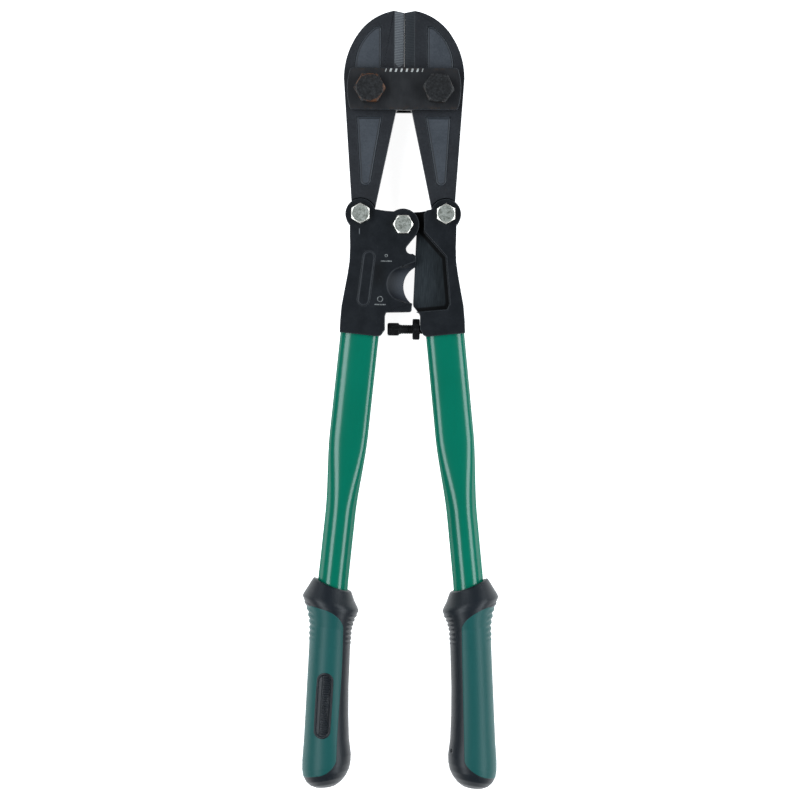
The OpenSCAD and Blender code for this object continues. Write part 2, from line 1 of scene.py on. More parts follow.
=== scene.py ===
import json
import math
import bmesh
import bpy
import numpy as np
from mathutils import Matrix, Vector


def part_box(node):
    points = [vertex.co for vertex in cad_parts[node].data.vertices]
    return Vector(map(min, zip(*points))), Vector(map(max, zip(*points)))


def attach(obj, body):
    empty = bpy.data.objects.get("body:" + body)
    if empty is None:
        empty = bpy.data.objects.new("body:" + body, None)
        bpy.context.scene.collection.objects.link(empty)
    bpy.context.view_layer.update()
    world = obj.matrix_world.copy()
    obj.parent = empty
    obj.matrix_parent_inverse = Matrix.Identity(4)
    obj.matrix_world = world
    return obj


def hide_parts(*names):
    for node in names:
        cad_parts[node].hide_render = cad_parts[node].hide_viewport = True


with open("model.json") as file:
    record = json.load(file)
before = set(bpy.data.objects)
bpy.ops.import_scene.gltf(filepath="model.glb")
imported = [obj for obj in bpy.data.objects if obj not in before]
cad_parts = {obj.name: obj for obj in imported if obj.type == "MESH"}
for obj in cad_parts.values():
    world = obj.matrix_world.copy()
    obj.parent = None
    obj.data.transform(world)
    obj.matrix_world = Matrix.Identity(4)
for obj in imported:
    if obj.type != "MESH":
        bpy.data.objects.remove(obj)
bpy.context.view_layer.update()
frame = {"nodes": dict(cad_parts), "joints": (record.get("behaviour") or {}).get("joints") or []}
joints = {joint["name"]: joint for joint in frame["joints"]}
jawPivot = 1000 * np.array(joints["left_jaw_pivot"]["pos_m"])  # millimetres from here on
togglePivot = 1000 * np.array(joints["left_handle_open"]["pos_m"])
midZ = jawPivot[2]
print("frame loaded, jaws at", jawPivot)


def boxOf(node):
    low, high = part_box(node)
    return 1000 * np.array(low), 1000 * np.array(high)


centreY = (boxOf("centre_bolt")[0][1] + boxOf("centre_bolt")[1][1]) / 2


def toFrame(points, turned=False):
    # millimetres about the mid-plane to metres in the frame;
    # a turned piece goes half a turn about Y
    flat = points.reshape(-1, 3) * (np.array([-1, 1, -1]) if turned else 1)
    return (flat + [0, 0, midZ]) * 0.001


def surface(name, points, loopRows=False, loopCols=True, closed=False, turned=False, marks=None):
    # grid of points joined into quads; closed adds a middle point to the first and last row;
    # the sign of the enclosed volume says which way the faces point
    rows, cols = points.shape[:2]
    index = np.arange(rows * cols).reshape(rows, cols)
    if loopRows:
        index = np.vstack([index, index[:1]])
    if loopCols:
        index = np.hstack([index, index[:, :1]])
    corners = [index[:-1, :-1], index[1:, :-1], index[1:, 1:], index[:-1, 1:]]
    quads = np.stack(corners, -1).reshape(-1, 4)
    verts = toFrame(points, turned)
    tris = np.zeros((0, 3), int)
    if closed:
        for ring in (index[0], index[-1][::-1]):
            fan = np.stack([ring[:-1], ring[1:], np.full(len(ring) - 1, len(verts))], -1)
            tris = np.vstack([tris, fan])
            verts = np.vstack([verts, verts[ring[:-1]].mean(0)])
    halves = np.vstack([quads[:, :3], quads[:, [0, 2, 3]], tris])
    a, b, c = (verts[halves[:, k]] for k in range(3))
    if np.einsum("ij,ij->", a, np.cross(b, c)) < 0:
        quads, tris = quads[:, ::-1], tris[:, ::-1]
    mesh = bpy.data.meshes.new(name)
    mesh.from_pydata(verts.tolist(), [], quads.tolist() + tris.tolist())
    for label, values in (marks or {}).items():
        full = np.zeros(len(verts), np.float32)
        full[:rows * cols] = values.reshape(-1)
        mesh.attributes.new(label, "FLOAT", "POINT").data.foreach_set("value", full)
    mesh.validate()
    mesh.shade_smooth()
    obj = bpy.data.objects.new(name, mesh)
    bpy.context.scene.collection.objects.link(obj)
    return obj


def softened(rings, radius):
    # each inner ring becomes three, set back towards its neighbours and drawn in between,
    # which makes a small round edge
    before, here, after = rings[:-2], rings[1:-1], rings[2:]
    def back(other):
        way = other - here
        length = np.maximum(np.linalg.norm(way, axis=-1, keepdims=True), 1e-6)
        return here + way * np.minimum(radius / length, 0.45)
    first, last = back(before), back(after)
    middle = (first + 2 * here + last) / 4
    inner = np.stack([first, middle, last], 1).reshape(-1, *rings.shape[1:])
    return np.concatenate([rings[:1], inner, rings[-1:]])


def evenNormals(obj):
    modifier = obj.modifiers.new("evenNormals", "WEIGHTED_NORMAL")
    modifier.keep_sharp = True
    return obj


def addPiece(obj, body, node, slotName, *materials):
    for material in materials:
        obj.data.materials.append(material)
    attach(obj, body)
    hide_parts(node)
    return obj


class Wire:
    # a socket that takes part in sums; every sum adds a Math node
    def __init__(self, finish, socket):
        self.finish, self.socket = finish, socket

    def __add__(self, other):
        return self.finish.sum("ADD", self, other)

    def __sub__(self, other):
        return self.finish.sum("SUBTRACT", self, other)

    def __rsub__(self, other):
        return self.finish.sum("SUBTRACT", other, self)

    def __mul__(self, other):
        return self.finish.sum("MULTIPLY", self, other)

    def __truediv__(self, other):
        return self.finish.sum("DIVIDE", self, other)

    def __pow__(self, other):
        return self.finish.sum("POWER", self, other)

    def __abs__(self):
        return self.finish.sum("ABSOLUTE", self)

    __radd__ = __add__
    __rmul__ = __mul__


class Finish:
    # one material: fixed numbers sit on the shader, what changes over the surface is wired to it
    def __init__(self, name, fixed):
        self.material = bpy.data.materials.new(name)
        self.material.use_nodes = True
        self.tree = self.material.node_tree
        self.shader = self.tree.nodes["Principled BSDF"]
        for label, value in fixed.items():
            self.shader.inputs[label].default_value = value

    def node(self, kind, settings=None, inputs=None, out=0):
        made = self.tree.nodes.new(kind)
        for key, value in (settings or {}).items():
            if key == "stops":
                while len(made.color_ramp.elements) < len(value):
                    made.color_ramp.elements.new(0.5)
                for element, (place, color) in zip(made.color_ramp.elements, value):
                    element.position, element.color = place, (*color, 1)
            else:
                setattr(made, key, value)
        for key, value in (inputs or {}).items():
            if isinstance(value, Wire):
                self.tree.links.new(value.socket, made.inputs[key])
            else:
                made.inputs[key].default_value = value
        return Wire(self, made.outputs[out])

    def sum(self, operation, *values):
        return self.node("ShaderNodeMath", {"operation": operation}, dict(enumerate(values)))

    def wire(self, **links):
        for label, value in links.items():
            self.tree.links.new(value.socket, self.shader.inputs[label.replace("_", " ")])
        return self

    def place(self, stretch=(1, 1, 1)):
        # Object coordinates in millimetres, with z from the mid-plane
        coords = self.node("ShaderNodeTexCoord", out="Object")
        scale = tuple(1000 * part for part in stretch)
        return self.node("ShaderNodeMapping", {}, {"Vector": coords, "Scale": scale,
                                                   "Location": (0, 0, -midZ * stretch[2])})

    def axes(self, vector):
        parts = self.node("ShaderNodeSeparateXYZ", {}, {"Vector": vector}).socket.node
        return [Wire(self, parts.outputs[k]) for k in range(3)]

    def noise(self, vector, scale, detail=3.0, roughness=0.55):
        inputs = {"Vector": vector, "Scale": scale, "Detail": detail, "Roughness": roughness}
        return self.node("ShaderNodeTexNoise", {}, inputs, "Fac")

    def step(self, value, low, high):
        return self.node("ShaderNodeMapRange", {"interpolation_type": "SMOOTHSTEP"},
                         {"Value": value, "From Min": low, "From Max": high})

    def mix(self, factor, first, second):
        pair = {6: first if isinstance(first, Wire) else (*first, 1),
                7: second if isinstance(second, Wire) else (*second, 1)}
        return self.node("ShaderNodeMix", {"data_type": "RGBA"}, {0: factor, **pair}, 2)

    def attribute(self, name):
        return self.node("ShaderNodeAttribute", {"attribute_name": name}, out="Fac")

    def bump(self, height, strength, distance):
        return self.node("ShaderNodeBump", {}, {"Height": height, "Strength": strength,
                                                "Distance": distance * 0.001})

    def window(self, value, low, high, edge=0.12):
        # 1 between low and high, 0 outside
        above = self.step(value, low - edge, low + edge)
        return above * (1 - self.step(value, high - edge, high + edge))

    def zigzag(self, value, pitch):
        # rises and falls between 0 and half a pitch
        return self.node("ShaderNodeMath", {"operation": "PINGPONG"}, {0: value, 1: pitch / 2})

    def fromPoint(self, x, y, atX, atY):
        flat = self.node("ShaderNodeCombineXYZ", {}, {0: x, 1: y, 2: 0.0})
        return self.node("ShaderNodeVectorMath", {"operation": "DISTANCE"},
                         {0: flat, 1: (atX, atY, 0)}, "Value")

    def facing(self):
        # the z part of the surface's normal
        return self.axes(self.node("ShaderNodeNewGeometry", out="Normal"))[2]

    def parting(self, z):
        # the line that a forging's dies leave round the middle of its sides
        return self.window(z, -0.35, 0.35, 0.25) * (1 - self.step(abs(self.facing()), 0.1, 0.3))


# finishes: lengths in millimetres, noise scales per millimetre

steel = {
    "rim": (0.0125, 0.0135, 0.0165), "rimLight": (0.020, 0.022, 0.026),
    "panel": (0.028, 0.033, 0.041), "panelLight": (0.044, 0.050, 0.060),
    # the two ground colours are a lit copy and a painted-shade copy of one ground steel
    "ground": (0.046, 0.051, 0.059), "groundDark": (0.018, 0.021, 0.025),
    "line": (0.22, 0.235, 0.25), "edge": (0.024, 0.027, 0.031),
    # the near-black colour on the next line is painted shade where the jaws meet
    "cutting": (0.004, 0.0045, 0.005), "rust": (0.060, 0.028, 0.014), "rustShare": 0.35,
    "grain": 0.9, "linePitch": 0.95, "lineRight": 0.08, "lineLeft": 0.44,
    "bevelWidth": 5.9, "bevelFoot": 12.8, "bevelPeak": 2.95, "bevelSlope": 0.9,
}


def jawSteel(name, deep):
    # scaly forged skin, paler shot-blasted panels, and ground bevels with lines across them;
    # the right jaw's bevel is painted darker as shade and its lines fainter, the left jaw's is the lit copy
    f = Finish(name, {"Metallic": 0.0, "Specular IOR Level": 0.3})
    where = f.place()
    x, y, z = f.axes(where)
    cloud = f.noise(where, 0.09, 4)
    skin = f.noise(where, steel["grain"], 5, 0.65)
    fine = f.noise(where, 3.2, 3)
    foot = jawPivot[1] + steel["bevelFoot"]
    rise = y - abs(abs(x) - steel["bevelPeak"]) * steel["bevelSlope"]
    bevel = (1 - f.step(abs(x), steel["bevelWidth"] - 0.15, steel["bevelWidth"] + 0.05)) \
        * f.step(rise, foot - 0.2, foot + 0.2)
    leftSide = 1 - f.step(x, -0.03, 0.03)
    drift = f.noise(f.place((0.25, 1, 1)), 0.5, 2, 0.6)
    wave = f.zigzag(y + drift * 0.5 + 400, steel["linePitch"])
    smear = f.noise(f.place((0.10, 1, 1)), 1.25, 2, 0.7)
    lines = wave / steel["linePitch"] * 1.3 + smear * 0.35
    rimLight = f.step(skin * 0.6 + cloud * 0.5, 0.42, 0.72)
    rimColor = f.mix(rimLight, steel["rim"], steel["rimLight"])
    panelLight = f.step(skin * 0.5 + cloud * 0.5, 0.35, 0.65)
    panelColor = f.mix(panelLight, steel["panel"], steel["panelLight"])
    # painted light and shade: the left jaw's bevel gets the lit colour and strong grinding lines, the right jaw's
    # the shaded colour and faint lines
    groundColor = f.mix(leftSide, steel["groundDark"], steel["ground"])
    bright = f.step(lines, 0.46, 0.66) * (steel["lineRight"] + leftSide * steel["lineLeft"])
    bevelColor = f.mix(bright, groundColor, steel["line"])
    rust = f.step(f.noise(where, 0.23, 4, 0.7), 0.62, 0.75) * f.step(fine, 0.45, 0.6)
    color = f.mix(bevel, f.mix(deep, rimColor, panelColor), bevelColor)
    color = f.mix(rust * steel["rustShare"], color, steel["rust"])
    rough = 0.34 + skin * 0.10 + deep * 0.10 - bevel * 0.04
    height = skin * 0.5 + fine * (0.25 + deep * 0.5) + bevel * lines * 0.8 + f.parting(z) * 0.8
    f.wire(Base_Color=color, Roughness=rough, Normal=f.bump(height, 0.5, 0.12))
    return f.material


def wornEdge():
    # the same oxide rubbed thin where an edge stands proud, and painted shade along the line where the jaws'
    # cutting edges meet
    f = Finish("wornEdge", {"Metallic": 0.0, "Specular IOR Level": 0.16})
    where = f.place()
    patch = f.noise(where, 0.35, 4, 0.6)
    color = f.mix(f.step(patch, 0.42, 0.66), steel["rimLight"], steel["edge"])
    # painted shade: near black and rough along x = 0, where the two jaws meet
    cutting = 1 - f.step(abs(f.axes(where)[0]), 0.45, 0.9)
    color = f.mix(cutting, color, steel["cutting"])
    f.wire(Base_Color=color, Roughness=0.36 + patch * 0.15 + cutting * 0.45,
           Normal=f.bump(f.noise(where, 1.6, 3), 0.3, 0.05))
    return f.material


plate = {
    "dark": (0.0125, 0.0130, 0.0148), "light": (0.0190, 0.0195, 0.0215),
    "rust": (0.042, 0.026, 0.017), "rustShare": 0.45, "rustFrom": 8.5, "rustFull": 12.2,
    "paint": (0.42, 0.43, 0.42), "bars": 7, "barPitch": 3.1, "barWidth": 1.1, "barHeight": 1.9,
    "barsAt": 10.6, "barSlant": -0.3, "barPhase": 20.5,
}


def plateSteel():
    # satin black oxide, faintly brown along the edges, with a plain row of pale bars
    f = Finish("plateSteel", {"Metallic": 0.0, "Specular IOR Level": 0.28})
    where = f.place()
    x, y, z = f.axes(where)
    cloud = f.noise(where, 0.12, 5, 0.6)
    brushed = f.noise(f.place((1, 0.12, 1)), 1.4, 3, 0.6)
    color = f.mix(f.step(cloud * 0.7 + brushed * 0.3, 0.35, 0.68), plate["dark"], plate["light"])
    fromEdge = f.step(abs(y - jawPivot[1]), plate["rustFrom"], plate["rustFull"])
    rust = fromEdge * f.step(f.noise(where, 0.3, 5, 0.7), 0.46, 0.66)
    color = f.mix(rust * plate["rustShare"], color, plate["rust"])
    barY = jawPivot[1] + plate["barsAt"]
    halfWide, halfHigh = plate["barWidth"] / 2, plate["barHeight"] / 2
    span = plate["bars"] * plate["barPitch"] / 2
    slant = x + (y - barY) * plate["barSlant"]
    across = f.zigzag(slant + plate["barPitch"] * plate["barPhase"], plate["barPitch"])
    printed = (1 - f.step(across, halfWide - 0.08, halfWide + 0.08)) \
        * f.window(slant, -span, span, 0.1) * f.window(y, barY - halfHigh, barY + halfHigh, 0.08) * f.step(z, 8, 9)
    printed = printed * (0.55 + f.step(f.noise(where, 1.1, 3), 0.35, 0.6) * 0.45)
    color = f.mix(printed, color, plate["paint"])
    f.wire(Base_Color=color, Roughness=0.36 + cloud * 0.10 + printed * 0.1,
           Normal=f.bump(brushed * 0.5 + f.noise(where, 2.2, 3) * 0.5, 0.28, 0.06))
    return f.material


def shaded(color, share):
    return tuple(share * part for part in color)


bolt = {
    "dark": (0.0050, 0.0052, 0.0057), "light": (0.0170, 0.0175, 0.0190),
    "pale": (0.070, 0.075, 0.077), "rust": (0.095, 0.036, 0.014),
}


def blackBolt(name, rustShare, shade=1.0):
    # black oxide, scaly on top, rusting along the corners; "rim" is 1 at the head's outer edge
    f = Finish(name, {"Metallic": 0.0, "Specular IOR Level": 0.25 * shade})
    where = f.place()
    rim = f.attribute("rim")
    scale = f.noise(where, 0.8, 5, 0.7)
    fine = f.noise(where, 2.6, 4, 0.65)
    dark, light, paleColor = (shaded(bolt[key], shade) for key in ("dark", "light", "pale"))
    color = f.mix(f.step(scale, 0.36, 0.66), dark, light)
    pale = f.step(fine * 0.6 + scale * 0.4, 0.54, 0.66) * (0.3 + rim * 0.6)
    color = f.mix(pale, color, paleColor)
    patch = f.noise(where, 0.16, 3, 0.6)
    rusty = patch * 0.8 + fine * 0.35 + scale * 0.25 + rim * 0.08
    start = 0.82 - 0.05 * rustShare
    rust = f.step(rusty, start, start + 0.11) * rustShare * (0.2 + rim * 0.8)
    color = f.mix(rust, color, bolt["rust"])
    f.wire(Base_Color=color, Roughness=0.40 + fine * 0.15,
           Normal=f.bump(scale * 0.6 + fine * 0.6, 0.55, 0.14))
    return f.material


# the rim colour is bright rubbed metal and a painted highlight together
zinc = {"dull": (0.10, 0.108, 0.090), "clean": (0.43, 0.445, 0.41), "rim": (0.74, 0.72, 0.66)}


def zincPlate():
    # dull plated steel: mottled grey tops; the rims are painted near white, partly bright rubbed metal and partly
    # a painted highlight
    f = Finish("zincPlate", {"Specular IOR Level": 0.5})
    where = f.place()
    rim = f.attribute("rim")
    mottle = f.noise(where, 0.75, 6, 0.72)
    spots = f.noise(where, 2.4, 4, 0.65)
    tarnish = f.step(mottle * 0.65 + spots * 0.35, 0.36, 0.62)
    color = f.mix(tarnish, zinc["dull"], zinc["clean"])
    # painted highlight: the cone and sides go near white, partly bright rubbed metal
    color = f.mix(f.step(rim, 0.35, 0.6), color, zinc["rim"])
    f.wire(Base_Color=color, Metallic=0.72 + rim * 0.15, Roughness=0.47 - rim * 0.14 + spots * 0.08,
           Normal=f.bump(mottle + spots * 0.5, 0.5, 0.09))
    return f.material


oxide = {
    "dark": (0.0055, 0.0068, 0.0088), "light": (0.0100, 0.0118, 0.0145),
    "scuff": (0.034, 0.037, 0.041),
}
blade = {  # on the right bracket; y from the toggle pins, the recess's wall about the centre bolt
    "x": (1.0, 30.0), "y": (-56, -12), "dark": (0.0120, 0.0155, 0.0185),
    "light": (0.0245, 0.0300, 0.0340),
    # the near-black colour on the next line is painted shade along the recess's wall
    "grease": (0.0012, 0.0013, 0.0015), "greaseShare": 0.93, "band": 2.2,
    "wall": ((12.2, -3.7), (25.1, -18.2), (27.5, -45.5), (25.8, -48.8), (8.9, -50.4)),
}
notches = {  # on the left bracket; y from the toggle pins
    "groundX": (-9.5, 12), "groundY": (-52.5, -21), "hollowAt": (5.5, -41.5),
    "shadow": (0.0045, 0.0055, 0.0075), "dark": (0.026, 0.030, 0.038), "light": (0.040, 0.046, 0.056),
    "smudgeX": (-17.0, -10.5), "smudgeY": (-41, -28), "smudge": (0.0022, 0.0024, 0.0028),
    "rings": ((-9.6, -25.8, 0.9), (-13.0, -50.9, 1.7)), "ringWide": 0.42, "ringRise": 1.6,
    "barHalf": 3.2, "barY": (-1.9, -1.25), "print": (0.30, 0.31, 0.31),
    "nickX": (-25.45, -25.0), "nickY": (-11.8, -8.6), "nick": (0.16, 0.17, 0.18),
}


def fromPins(pair):
    return togglePivot[1] + pair[0], togglePivot[1] + pair[1]


def bladeFloor(f, x, y, z, color):
    # a ground floor with lines down it; a painted shade darkens it along the recess's wall,
    # by how far a point lies inside the wall's polygon
    inside = f.window(x, *blade["x"], 0.6) * f.window(y, *fromPins(blade["y"]), 3) \
        * (1 - f.step(abs(z), 1, 2))
    lines = f.noise(f.place((1, 0.07, 1)), 1.8, 3, 0.65)
    color = f.mix(inside, color, f.mix(f.step(lines, 0.35, 0.7), blade["dark"], blade["light"]))
    reach = None
    for (ax, ay), (bx, by) in zip(blade["wall"], blade["wall"][1:]):
        length = math.hypot(bx - ax, by - ay)
        nx, ny = (ay - by) / length, (bx - ax) / length
        off = x * nx + y * ny - (ax * nx + (ay + centreY) * ny)
        reach = off if reach is None else f.sum("MAXIMUM", reach, off)
    # painted shade: a near-black band on the floor along the recess's wall, where the wall's shadow falls
    shade = f.step(reach, -blade["band"] - 0.7, -blade["band"] + 0.1) \
        * (1 - f.step(abs(z), 6, 6.5)) * f.step(z, -1, -0.5)
    return f.mix(shade * blade["greaseShare"], color, blade["grease"]), inside * lines * 0.5


def notchFace(f, where, x, y, z, skin, color):
    # the ground bevel of the cable notch with painted shade darkening it away from the notch's hollow, a smudge, a
    # nick, and worn print as plain rings and bars
    ground = f.window(x, *notches["groundX"], 0.5) * f.window(y, *fromPins(notches["groundY"]), 1) \
        * (1 - f.step(abs(z), 6.8, 6.95))
    hollowX, hollowY = notches["hollowAt"]
    hollow = f.fromPoint(x, y, hollowX, togglePivot[1] + hollowY)
    # painted shade: the bevel goes to the shadow colour further from the hollow
    bright = 1 - f.step(hollow, 5.5, 13.5) * 0.85
    groundColor = f.mix(bright, notches["shadow"], f.mix(skin, notches["dark"], notches["light"]))
    color = f.mix(ground, color, groundColor)
    smudge = f.window(x, *notches["smudgeX"], 2.5) * f.window(y, *fromPins(notches["smudgeY"]), 4)
    color = f.mix(smudge * 0.6, color, notches["smudge"])
    printed = None
    for cx, cy, radius in notches["rings"]:
        cy = togglePivot[1] + cy
        far = f.fromPoint(x, y, cx, cy + notches["ringRise"])
        ring = f.window(far, radius - notches["ringWide"], radius, 0.1)
        bar = f.window(x, cx - notches["barHalf"], cx + notches["barHalf"], 0.12) \
            * f.window(y, cy + notches["barY"][0], cy + notches["barY"][1], 0.12)
        printed = ring + bar if printed is None else printed + (ring + bar)
    worn = 0.2 + f.step(f.noise(where, 1.4, 4), 0.4, 0.62) * 0.5
    color = f.mix(printed * f.step(z, 6.7, 6.9) * worn, color, notches["print"])
    nick = f.window(x, *notches["nickX"], 0.1) * f.window(y, *fromPins(notches["nickY"]), 0.5)
    return f.mix(nick * 0.7, color, notches["nick"])


def bracketSteel(name, right):
    # smooth black oxide, scuffed along the handle
    f = Finish(name, {"Metallic": 0.0, "Specular IOR Level": 0.18})
    where = f.place()
    x, y, z = f.axes(where)
    cloud = f.noise(where, 0.10, 5, 0.62)
    skin = f.noise(where, 1.1, 4, 0.6)
    color = f.mix(f.step(cloud * 0.65 + skin * 0.35, 0.36, 0.66), oxide["dark"], oxide["light"])
    height = skin * 0.5 + f.noise(where, 3.4, 3) * 0.3
    if right:
        color, grooves = bladeFloor(f, x, y, z, color)
        height = height + grooves
    else:
        color = notchFace(f, where, x, y, z, skin, color)
    scuffs = f.step(f.noise(f.place((1, 0.22, 1)), 0.55, 4, 0.7), 0.66, 0.72) * 0.3
    color = f.mix(scuffs, color, oxide["scuff"])
    f.wire(Base_Color=color, Roughness=0.34 + cloud * 0.08 + skin * 0.06,
           Normal=f.bump(height + f.parting(z) * 0.8, 0.35, 0.09))
    return f.material


green = {
    "paint": (0.0, 0.110, 0.066), "paintLight": (0.0, 0.140, 0.089), "speck": (0.004, 0.045, 0.032),
    "shell": (0.0040, 0.061, 0.058), "shellLight": (0.0085, 0.075, 0.072), "dust": (0.030, 0.085, 0.085),
}


def tubePaint():
    # glossy green paint with a faint ripple and a few specks; its clear top is thin on the flanks
    f = Finish("tubePaint", {"Specular IOR Level": 0.0, "Coat Roughness": 0.19, "Coat IOR": 1.47})
    where = f.place()
    ripple = f.noise(where, 0.28, 2, 0.4)
    drift = f.noise(where, 0.03, 3, 0.5)
    specks = f.step(f.noise(where, 1.5, 2, 0.4), 0.735, 0.77)
    color = f.mix(drift, green["paint"], green["paintLight"])
    color = f.mix(specks * 0.5, color, green["speck"])
    coat = (1.0 - specks * 0.6) * (0.12 + f.step(abs(f.facing()), 0.28, 0.8) * 0.88)
    f.wire(Base_Color=color, Roughness=0.34 + drift * 0.12, Coat_Weight=coat,
           Normal=f.bump(ripple, 0.10, 0.10))
    return f.material


def gripPlastic():
    # dull green moulding with a fine spark grain
    f = Finish("gripPlastic", {"Specular IOR Level": 0.24})
    where = f.place()
    grain = f.noise(where, 2.9, 3, 0.6)
    flow = f.noise(f.place((1, 0.25, 1)), 0.12, 4, 0.55)
    color = f.mix(flow, green["shell"], green["shellLight"])
    dust = f.step(f.noise(where, 0.8, 4, 0.7), 0.62, 0.74) * 0.18
    color = f.mix(dust, color, green["dust"])
    f.wire(Base_Color=color, Roughness=0.38 + grain * 0.12 + dust * 0.2,
           Normal=f.bump(grain, 0.35, 0.05))
    return f.material


slate = {
    "dark": (0.0050, 0.0072, 0.0105), "light": (0.0085, 0.0120, 0.0165),
    "dust": (0.024, 0.030, 0.037), "pit": (0.003, 0.003, 0.004),
}


def gripRubber(name="gripRubber", dark=1.0):
    # soft slate moulding, finely grained; "pit" is 1 in the moulding's gate mark
    f = Finish(name, {"Specular IOR Level": 0.3})
    where = f.place()
    grain = f.noise(where, 3.4, 3, 0.65)
    cloud = f.noise(where, 0.11, 4, 0.6)
    color = f.mix(cloud, shaded(slate["dark"], dark), shaded(slate["light"], dark))
    dust = f.step(f.noise(where, 0.9, 5, 0.75), 0.60, 0.74) * 0.22
    color = f.mix(dust, color, slate["dust"])
    color = f.mix(f.attribute("pit") * 0.9, color, slate["pit"])
    f.wire(Base_Color=color, Roughness=0.36 + grain * 0.10,
           Normal=f.bump(grain + cloud * 0.3, 0.4, 0.06))
    return f.material


finishes = {
    "jaw": jawSteel("jawSteel", 0.0), "panel": jawSteel("jawPanel", 1.0), "edge": wornEdge(),
    "plate": plateSteel(), "boltLeft": blackBolt("boltRusty", 0.85),
    "boltRight": blackBolt("boltBlack", 0.12), "screw": blackBolt("screwBlack", 0.0, 0.45),
    "zinc": zincPlate(), "bracketLeft": bracketSteel("bracketLeft", False),
    "bracketRight": bracketSteel("bracketRight", True), "paint": tubePaint(),
    "shell": gripPlastic(), "rubber": gripRubber(), "badge": gripRubber("badgeRubber", 0.8),
}
print("finishes made")


# forgings and plates are merged copies with rounded edges

jawForging = {"slot": "jaw_steel", "finish": "jaw", "panel": "panel", "round": 0.34, "floor": 4.6,
              "draft": 1.15, "raise": 0.75}
plateForging = {"body": "head", "slot": "plate_steel", "finish": "plate", "round": 0.45}
bracketForging = {"slot": "bracket_steel", "round": 0.42, "floor": 6.4, "draft": 0.6, "raise": 0.45}
forgings = {
    "jaw_left": {**jawForging, "body": "left_jaw", "meet": 0.042},
    "jaw_right": {**jawForging, "body": "right_jaw", "meet": -0.042},
    "jaw_plate_front": plateForging,
    "jaw_plate_rear": plateForging,
    "bracket_left": {**bracketForging, "body": "left_handle", "finish": "bracketLeft"},
    "bracket_right": {**bracketForging, "body": "right_handle", "finish": "bracketRight"},
}


def forgedPiece(node, spec):
    # sunk panels get sloping walls: the floor is drawn in, and its old border lifted
    # towards the rim; "meet" moves a jaw's cutting edge across
    near = 0.00005
    bm = bmesh.new()
    bm.from_mesh(frame["nodes"][node].data)
    bmesh.ops.remove_doubles(bm, verts=bm.verts, dist=0.00004)
    bmesh.ops.dissolve_limit(bm, angle_limit=math.radians(1), verts=bm.verts, edges=bm.edges)
    if "meet" in spec:
        heel = (jawPivot[1] + 9) * 0.001
        touching = [vert for vert in bm.verts if abs(vert.co.x) < 1.2 * near and vert.co.y > heel]
        bmesh.ops.translate(bm, verts=touching, vec=(spec["meet"] * 0.001, 0, 0))
    if "floor" in spec:
        for side in (1, -1):
            level = (midZ + side * spec["floor"]) * 0.001
            floors = [face for face in bm.faces if face.normal.z * side > 0.99
                      and abs(face.calc_center_median().z - level) < near]
            if floors:
                border = list({vert for face in floors for vert in face.verts})
                for face in floors:
                    face.material_index = 2 if "panel" in spec else 0
                bmesh.ops.inset_region(bm, faces=floors, thickness=spec["draft"] * 0.001,
                                       use_even_offset=True)
                bmesh.ops.translate(bm, verts=border, vec=(0, 0, side * spec["raise"] * 0.001))
    bmesh.ops.recalc_face_normals(bm, faces=bm.faces)
    name = "".join(part.capitalize() if k else part for k, part in enumerate(node.split("_")))
    mesh = bpy.data.meshes.new(name)
    bm.to_mesh(mesh)
    bm.free()
    mesh.shade_smooth()
    obj = bpy.data.objects.new(name, mesh)
    bpy.context.scene.collection.objects.link(obj)
    addPiece(obj, spec["body"], node, spec["slot"], finishes[spec["finish"]], finishes["edge"],
             *([finishes[spec["panel"]]] if "panel" in spec else []))
    bevel = obj.modifiers.new("roundEdges", "BEVEL")
    bevel.width, bevel.segments, bevel.limit_method = spec["round"] * 0.001, 3, "ANGLE"
    bevel.angle_limit, bevel.use_clamp_overlap, bevel.material = math.radians(32), False, 1
    bevel.harden_normals = True
    return evenNormals(obj)


for node, spec in forgings.items():
    forgedPiece(node, spec)
print("forgings and plates made")


def hexAngles(perSide=16):
    # angles round a hexagon, close together at its corners
    t = np.linspace(-1, 1, perSide, endpoint=False)
    sector = np.radians(30) * (0.25 * t + 0.75 * t ** 3)
    return (np.arange(6)[:, None] * np.radians(60) + sector).reshape(-1)


def hexRadius(angle, acrossFlats, hardness=70):
    # three pairs of flats, softly joined by a power mean so that the corners are slightly round
    normals = np.radians([[30], [90], [150]])
    return acrossFlats / 2 / (np.abs(np.cos(angle - normals)) ** hardness).sum(0) ** (1 / hardness)


def ringStack(rings, angle):
    # each ring is a radius and a height, either of which may change with the angle
    rows = []
    for radius, height in rings:
        radius, height = radius + 0 * angle, height + 0 * angle
        rows.append(np.stack([radius * np.cos(angle), radius * np.sin(angle), height], -1))
    return np.stack(rows)


def headRings(angle, acrossFlats, height, flat=0.465, slope=0.42):
    # a round top, a cone down to the hexagon's sides, and the sides
    side = hexRadius(angle, acrossFlats)
    top = acrossFlats * flat
    edge = height - (side - top) * slope
    return [(top * 0.45, height - 0.12), (top * 0.86, height - 0.06), (top, height),
            (side, edge), (side, 0.25), (side - 0.25, 0.0)]


def threadRings(angle, radius, low, high, pitch, depth, perTurn=8):
    # a screw thread: the radius rises and falls once a pitch, shifted along by the angle
    heights = np.arange(high, low, -pitch / perTurn)
    wave = [np.abs(((z / pitch - angle / (2 * np.pi)) % 1) * 2 - 1) for z in heights]
    return [(radius - depth * part, z) for part, z in zip(wave, heights)]


def rimMark(points, acrossFlats):
    # 1 on the cone and the sides of a head or nut, 0 on its round top
    reach = np.hypot(points[..., 0], points[..., 1])
    return np.clip((reach / acrossFlats - 0.455) / 0.02, 0, 1)


def turnedRound(points, degrees, flip=1):
    turn = np.radians(degrees)
    x = points[..., 0] * np.cos(turn) - points[..., 1] * np.sin(turn)
    y = points[..., 0] * np.sin(turn) + points[..., 1] * np.cos(turn)
    return np.stack([x, y, flip * points[..., 2]], -1)


